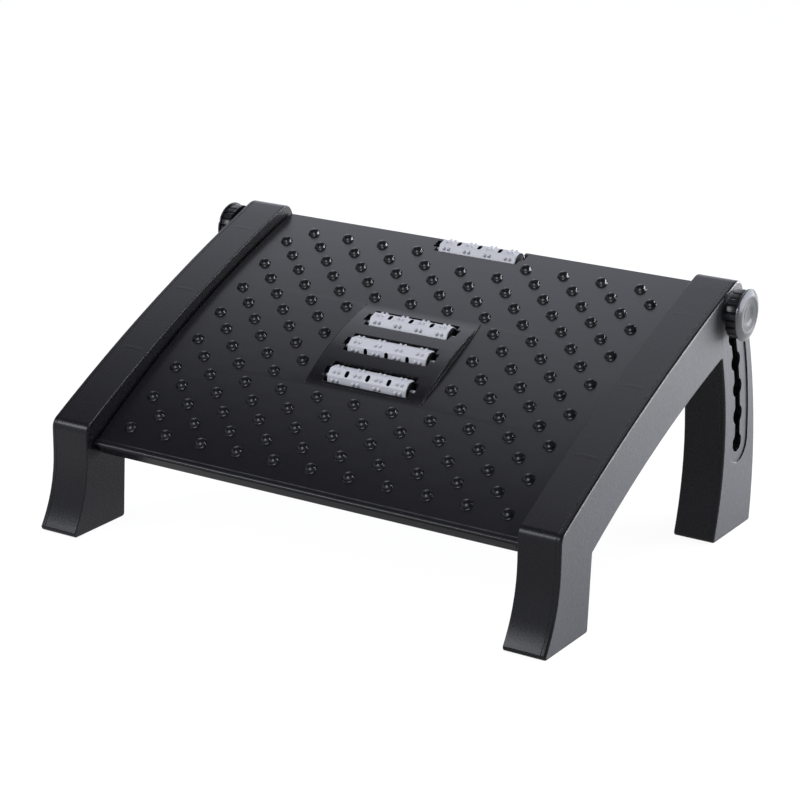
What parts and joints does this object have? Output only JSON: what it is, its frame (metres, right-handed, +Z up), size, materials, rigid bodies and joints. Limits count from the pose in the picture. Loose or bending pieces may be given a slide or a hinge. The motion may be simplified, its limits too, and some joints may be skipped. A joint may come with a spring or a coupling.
{
  "type": "tilting foot rest",
  "caption": "Hard foot rest with an arched, domed tread that tilts between two arched side frames, free-turning massage rollers and side knobs that clamp the tilt.",
  "frame": {"origin": "on the floor, midway between the side frames and between the front of the front feet and the bulge of the rear legs", "axes": "+X to the sitter's left as they face the object (the right side in the picture), +Y to the rear, +Z up"},
  "size_m": [0.4816, 0.3332, 0.2078],
  "materials": {
    "frame_plastic": "satin charcoal, fine grain",
    "tread_plastic": "satin dark grey, glossier on the domes",
    "roller_plastic": "matt light cool grey",
    "knob_plastic": "satin black",
    "silver_cap": "satin silver",
    "zinc_steel": "zinc plated",
    "pad_rubber": "matt black"
  },
  "bodies": {
    "side_frames": {"side_frame_left": "frame_plastic", "side_frame_right": "frame_plastic", "side_cover_left": "frame_plastic", "side_cover_right": "frame_plastic", "cover_screw_1_left": "zinc_steel", "cover_screw_2_left": "zinc_steel", "cover_screw_3_left": "zinc_steel", "cover_screw_4_left": "zinc_steel", "cover_screw_1_right": "zinc_steel", "cover_screw_2_right": "zinc_steel", "cover_screw_3_right": "zinc_steel", "cover_screw_4_right": "zinc_steel", "pad_front_left": "pad_rubber", "pad_rear_left": "pad_rubber", "pad_front_right": "pad_rubber", "pad_rear_right": "pad_rubber"},
    "tilting_tread": {"tread": "tread_plastic", "pivot_pin_left": "zinc_steel", "pivot_pin_right": "zinc_steel", "clamp_bolt_left": "zinc_steel", "clamp_bolt_right": "zinc_steel"},
    "left_collar": {"lock_collar_left": "knob_plastic"},
    "right_collar": {"lock_collar_right": "knob_plastic"},
    "left_knob": {"knob_left": "knob_plastic", "knob_cap_left": "silver_cap"},
    "right_knob": {"knob_right": "knob_plastic", "knob_cap_right": "silver_cap"},
    "front_roller": {"roller_front": "roller_plastic"},
    "middle_roller": {"roller_middle": "roller_plastic"},
    "back_roller": {"roller_back": "roller_plastic"},
    "rear_edge_roller": {"roller_rear_edge": "roller_plastic"}
  },
  "joints": [
    {"name": "tread_tilt", "type": "hinge", "parent": "side_frames", "child": "tilting_tread", "pos_m": [0, -0.12825, 0.0685], "axis": [1, 0, 0], "range_deg": [-25.1, 0]},
    {"name": "right_collar_slide", "type": "slide", "parent": "tilting_tread", "child": "right_collar", "axis": [1, 0, 0], "range_m": [-0.003, 0]},
    {"name": "left_collar_slide", "type": "slide", "parent": "tilting_tread", "child": "left_collar", "axis": [-1, 0, 0], "range_m": [-0.003, 0]},
    {"name": "right_knob_turn", "type": "hinge", "parent": "right_collar", "child": "right_knob", "pos_m": [0.2286, 0.10887, 0.1857], "axis": [1, 0, 0], "range_deg": [-864, 0]},
    {"name": "left_knob_turn", "type": "hinge", "parent": "left_collar", "child": "left_knob", "pos_m": [-0.2286, 0.10887, 0.1857], "axis": [-1, 0, 0], "range_deg": [-864, 0]},
    {"name": "front_roller_spin", "type": "hinge", "parent": "tilting_tread", "child": "front_roller", "pos_m": [0, -0.03973, 0.12738], "axis": [1, 0, 0], "continuous": true},
    {"name": "middle_roller_spin", "type": "hinge", "parent": "tilting_tread", "child": "middle_roller", "pos_m": [0, -0.01193, 0.14365], "axis": [1, 0, 0], "continuous": true},
    {"name": "back_roller_spin", "type": "hinge", "parent": "tilting_tread", "child": "back_roller", "pos_m": [0, 0.01801, 0.1555], "axis": [1, 0, 0], "continuous": true},
    {"name": "rear_edge_roller_spin", "type": "hinge", "parent": "tilting_tread", "child": "rear_edge_roller", "pos_m": [0, 0.12025, 0.1924], "axis": [1, 0, 0], "continuous": true}
  ],
  "couplings": [
    {"joint": "right_collar_slide", "follows": "right_knob_turn", "m_per_rad": 0.000198},
    {"joint": "left_collar_slide", "follows": "left_knob_turn", "m_per_rad": 0.000198}
  ]
}
